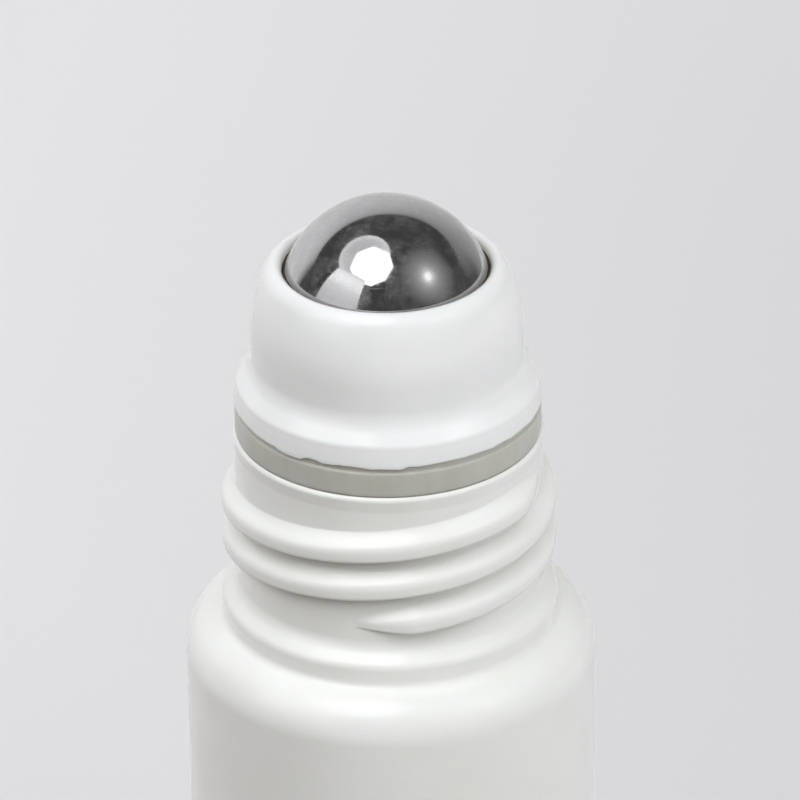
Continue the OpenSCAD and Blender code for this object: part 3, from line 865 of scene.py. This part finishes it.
def lit_sheet(name, turn, rise, radius, shares, away=STAGE_AWAY, sides=48):
    """A flat sheet lit from behind, which only the ball and the gloss of the plastic show.

    turn and rise are in degrees, radius and away in millimetres.
    """
    ray = heading(turn, rise)
    middle = Vector((0, 0, BALL_Z)) + ray * away
    across = ray.cross(Vector((0, 0, 1))).normalized()
    upright = across.cross(ray)
    strongest = max(level for _, level in shares)
    material, tree = stage_material(name)
    spot = add(tree, "ShaderNodeTexCoord").outputs["Object"]
    off = add(tree, "ShaderNodeVectorMath", {0: spot, 1: tuple(middle * MM)}, operation="DISTANCE")
    share = add(tree, "ShaderNodeMapRange", {0: off.outputs["Value"], 2: radius * MM})
    level = add(tree, "ShaderNodeFloatCurve", {"Value": share})
    curve_points(level, [(at, value / strongest) for at, value in shares])
    level = add(tree, "ShaderNodeMath", {0: level, 1: strongest}, operation="MULTIPLY")
    shine = add(tree, "ShaderNodeEmission", {"Color": colour(PLAIN_WHITE), "Strength": level})
    add(tree, "ShaderNodeOutputMaterial", {"Surface": shine})
    angles = [TAU * (i + 0.5) / sides for i in range(sides)]
    ring = [middle + (across * math.cos(a) + upright * math.sin(a)) * radius for a in angles]
    card(name, ring, material, diffuse=False)


def pale_floor():
    """Pale matt paper with the bottle's shadow on it, and plain pale from there to the horizon."""
    material, tree = stage_material("pale_matt_paper")
    spot = add(tree, "ShaderNodeTexCoord").outputs["Object"]
    # The paper throws light on the object from behind and from the right, and little from the front
    outwards = add(tree, "ShaderNodeVectorMath", {0: spot}, operation="NORMALIZE")
    behind = {0: outwards, 1: tuple(heading(140))}
    facing = add(tree, "ShaderNodeVectorMath", behind, operation="DOT_PRODUCT").outputs["Value"]
    lit = add(tree, "ShaderNodeMapRange", {0: facing, 1: -0.75, 2: 0})
    bounce = {0: lit, 6: colour("#35291B"), 7: colour("#E2E0DC")}
    bounce = add(tree, "ShaderNodeMix", bounce, data_type="RGBA").outputs[2]
    thrown = add(tree, "ShaderNodeBsdfDiffuse", {"Color": bounce})
    # Painted shade: the paper darkens softly towards the front right
    slope = {0: spot, 1: (1, -0.2, 0)}
    slope = add(tree, "ShaderNodeVectorMath", slope, operation="DOT_PRODUCT").outputs["Value"]
    slope = add(tree, "ShaderNodeMapRange", {0: slope, 1: PAPER_LEFT * MM, 2: PAPER_RIGHT * MM})
    paper = {0: slope, 6: colour("#E3E1DF"), 7: colour("#D6D4D3")}
    paper = add(tree, "ShaderNodeMix", paper, data_type="RGBA").outputs[2]
    matt = add(tree, "ShaderNodeBsdfDiffuse", {"Color": paper})
    plain = add(tree, "ShaderNodeEmission", {"Color": colour(PALE), "Strength": 1})
    away = add(tree, "ShaderNodeVectorMath", {0: spot}, operation="LENGTH").outputs["Value"]
    far = {0: away, 1: PAPER_NEAR * MM, 2: PAPER_FAR * MM}
    far = add(tree, "ShaderNodeMapRange", far, interpolation_type="SMOOTHSTEP")
    shown = add(tree, "ShaderNodeMixShader", {0: far, 1: matt, 2: plain})
    bounced = add(tree, "ShaderNodeLightPath").outputs["Is Diffuse Ray"]
    both = add(tree, "ShaderNodeMixShader", {0: bounced, 1: shown, 2: thrown})
    add(tree, "ShaderNodeOutputMaterial", {"Surface": both})
    half = FLOOR_HALF
    corners = [(-half, -half, 0), (half, -half, 0), (half, half, 0), (-half, half, 0)]
    card("floor", corners, material, seen=True)


def backdrop():
    """Pale sheet behind the bottle, brightest at its left. The ball shows it, not the camera."""
    material, tree = stage_material("pale_backdrop_sheet")
    spot = add(tree, "ShaderNodeTexCoord").outputs["Object"]
    place = add(tree, "ShaderNodeSeparateXYZ", {0: spot}).outputs
    half, back, top = BACKDROP_HALF, BACKDROP_BACK, BACKDROP_H
    across = add(tree, "ShaderNodeMapRange", {0: place["X"], 1: -half * MM, 2: half * MM})
    level = add(tree, "ShaderNodeFloatCurve", {"Value": across})
    curve_points(level, BACKDROP_SHARES)
    # Its upper edge sags, and fades into the dark room
    edge = add(tree, "ShaderNodeFloatCurve", {"Value": across})
    curve_points(edge, BACKDROP_EDGE_SHARES)
    edge = add(tree, "ShaderNodeMath", {0: edge, 1: top * MM}, operation="MULTIPLY")
    up = add(tree, "ShaderNodeMath", {0: place["Z"], 1: edge}, operation="DIVIDE")
    fade = add(tree, "ShaderNodeFloatCurve", {"Value": up})
    curve_points(fade, BACKDROP_FADE_SHARES)
    # Towards its ends the light leaves its lower part
    ends = add(tree, "ShaderNodeFloatCurve", {"Value": across})
    curve_points(ends, BACKDROP_END_SHARES)
    low = add(tree, "ShaderNodeMath", {0: 1, 1: up}, operation="SUBTRACT")
    low = add(tree, "ShaderNodeMath", {0: low, 1: ends}, operation="MULTIPLY")
    high = add(tree, "ShaderNodeMath", {0: 1, 1: low}, operation="SUBTRACT", use_clamp=True)
    shine = add(tree, "ShaderNodeMath", {0: level, 1: fade}, operation="MULTIPLY")
    shine = add(tree, "ShaderNodeMath", {0: shine, 1: high}, operation="MULTIPLY")
    shine = add(tree, "ShaderNodeMath", {0: shine, 1: ROOM_GLOW}, operation="MAXIMUM")
    shine = add(tree, "ShaderNodeEmission", {"Color": colour(PLAIN_WHITE), "Strength": shine})
    add(tree, "ShaderNodeOutputMaterial", {"Surface": shine})
    corners = [(-half, back, 0), (half, back, 0), (half, back, top), (-half, back, top)]
    card("backdrop", corners, material)


def dark_room():
    """The unlit studio round the set, which the ball and the gloss of the plastic reflect."""
    material, tree = stage_material("unlit_room")
    glow = {"Color": colour(PLAIN_WHITE), "Strength": ROOM_GLOW}
    add(tree, "ShaderNodeOutputMaterial", {"Surface": add(tree, "ShaderNodeEmission", glow)})
    walls = bmesh.new()
    bmesh.ops.create_icosphere(walls, subdivisions=4, radius=ROOM_R * MM)
    data = bpy.data.meshes.new("dark_room")
    walls.to_mesh(data)
    walls.free()
    data.materials.append(material)
    room = bpy.data.objects.new("dark_room", data)
    bpy.context.scene.collection.objects.link(room)
    room.visible_camera = room.visible_diffuse = room.visible_shadow = False


def pale_world():
    """The dim light of the room on the object, and a plain pale background for the camera."""
    world = bpy.data.worlds.new("soft_studio")
    bpy.context.scene.world = world
    world.use_nodes = True
    tree = world.node_tree
    tree.nodes.clear()
    path = add(tree, "ShaderNodeLightPath").outputs
    seen = {0: path["Is Camera Ray"], 1: path["Is Glossy Ray"]}
    seen = add(tree, "ShaderNodeMath", seen, operation="MAXIMUM")
    seen = {0: seen, 1: path["Is Transmission Ray"]}
    seen = add(tree, "ShaderNodeMath", seen, operation="MAXIMUM")
    fill = add(tree, "ShaderNodeBackground", {"Color": colour("#303234"), "Strength": 1})
    shown = add(tree, "ShaderNodeBackground", {"Color": colour(PALE), "Strength": 1})
    both = add(tree, "ShaderNodeMixShader", {0: seen, 1: fill, 2: shown})
    add(tree, "ShaderNodeOutputWorld", {"Surface": both})


def light_the_set():
    """Soft lamps all round and above, and the sheets and cards that the ball shows."""
    for lamp in LAMPS:
        soft_lamp(*lamp)
    # Octagonal key softbox, with the round diffuser behind it
    lit_sheet("key_softbox", -32.5, 62.2, 600, KEY_SHARES, sides=8)
    lit_sheet("round_diffuser", -62, 66, 780, DIFFUSER_SHARES, away=DIFFUSER_AWAY)
    # Small lamp behind a frosted sheet at the right: a bright middle in a wide faint halo
    lit_sheet("frosted_side_sheet", 62.2, 39, 950, HALO_SHARES)
    lit_sheet("small_right_lamp", 125, 14, 70, SMALL_LAMP_SHARES, sides=24)
    # A brown mat on the floor in front and to the left, which darkens and warms the lower body
    mat = [heading(turn) * away for turn, away in MAT_CORNERS]
    card("brown_mat", [(x, y, MAT_H) for x, y, _ in mat], brown_felt(), glossy=False)
    card("reflector_card", REFLECTOR_CORNERS, reflector_face(), diffuse=False)


def brown_felt():
    """Dark brown felt, matt. Its underside is clear, so that the floor beneath isn't dimmed."""
    material, tree = stage_material("brown_felt")
    matt = add(tree, "ShaderNodeBsdfDiffuse", {"Color": colour("#66420F")})
    below = add(tree, "ShaderNodeNewGeometry").outputs["Backfacing"]
    clear = add(tree, "ShaderNodeBsdfTransparent")
    felt = add(tree, "ShaderNodeMixShader", {0: below, 1: matt, 2: clear})
    add(tree, "ShaderNodeOutputMaterial", {"Surface": felt})
    return material


def reflector_face():
    """White card that glows, brightest at its top: painted light, as if it caught the key lamp."""
    material, tree = stage_material("glowing_white_card")
    spot = add(tree, "ShaderNodeTexCoord").outputs["Object"]
    height = add(tree, "ShaderNodeSeparateXYZ", {0: spot}).outputs["Z"]
    up = {0: height, 1: REFLECTOR_LOW * MM, 2: REFLECTOR_TOP * MM}
    up = add(tree, "ShaderNodeMapRange", up)
    level = add(tree, "ShaderNodeFloatCurve", {"Value": up})
    curve_points(level, REFLECTOR_SHARES)
    level = add(tree, "ShaderNodeMath", {0: level, 1: REFLECTOR_GLOW}, operation="MULTIPLY")
    shine = add(tree, "ShaderNodeEmission", {"Color": colour(PLAIN_WHITE), "Strength": level})
    add(tree, "ShaderNodeOutputMaterial", {"Surface": shine})
    return material


# Pieces

def mould_bottle():
    # Its third colour is the painted shade in the grooves
    material = plastic(
        "white_polypropylene_moulded", "#F0F0EA", "#EDEDE5", "#8C8066", roughness=0.1, depth=0.12,
    )
    piece = turned("threaded_bottle", bottle_section())
    grow_thread(piece, material)
    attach(piece, "bottle")
    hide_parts("bottle")


def mould_plug():
    material = milky_polyethylene()
    piece = turned("ribbed_seat_plug", plug_section())
    cut_feed_grooves(piece, material)
    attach(piece, "fitment")
    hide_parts("seat_plug")


def mould_housing():
    name = "white_polypropylene_polished_mould"
    # Its third colour is the painted shade in the grooves
    material = plastic(name, "#F2F2EE", "#EFEFEA", "#E9E6DF", roughness=0.08, depth=0.9)
    piece = turned("domed_ball_housing", housing_section())
    hang_flash(piece, material)
    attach(piece, "fitment")
    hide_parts("ball_housing")


def grind_ball():
    foot, top = (0, BALL_Z - BALL_R), (0, BALL_Z + BALL_R)
    section = [foot] + arc((0, BALL_Z), BALL_R, -90, 90, BALL_ROWS)[1:-1] + [top]
    piece = turned("steel_roller_ball", section, BALL_COLUMNS)
    piece.data.materials.append(ground_steel())
    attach(piece, "ball")
    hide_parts("roller_ball")


bpy.context.scene.view_settings.view_transform = "Standard"
place_camera()
mould_bottle()
mould_plug()
mould_housing()
grind_ball()
pale_floor()
backdrop()
dark_room()
pale_world()
light_the_set()
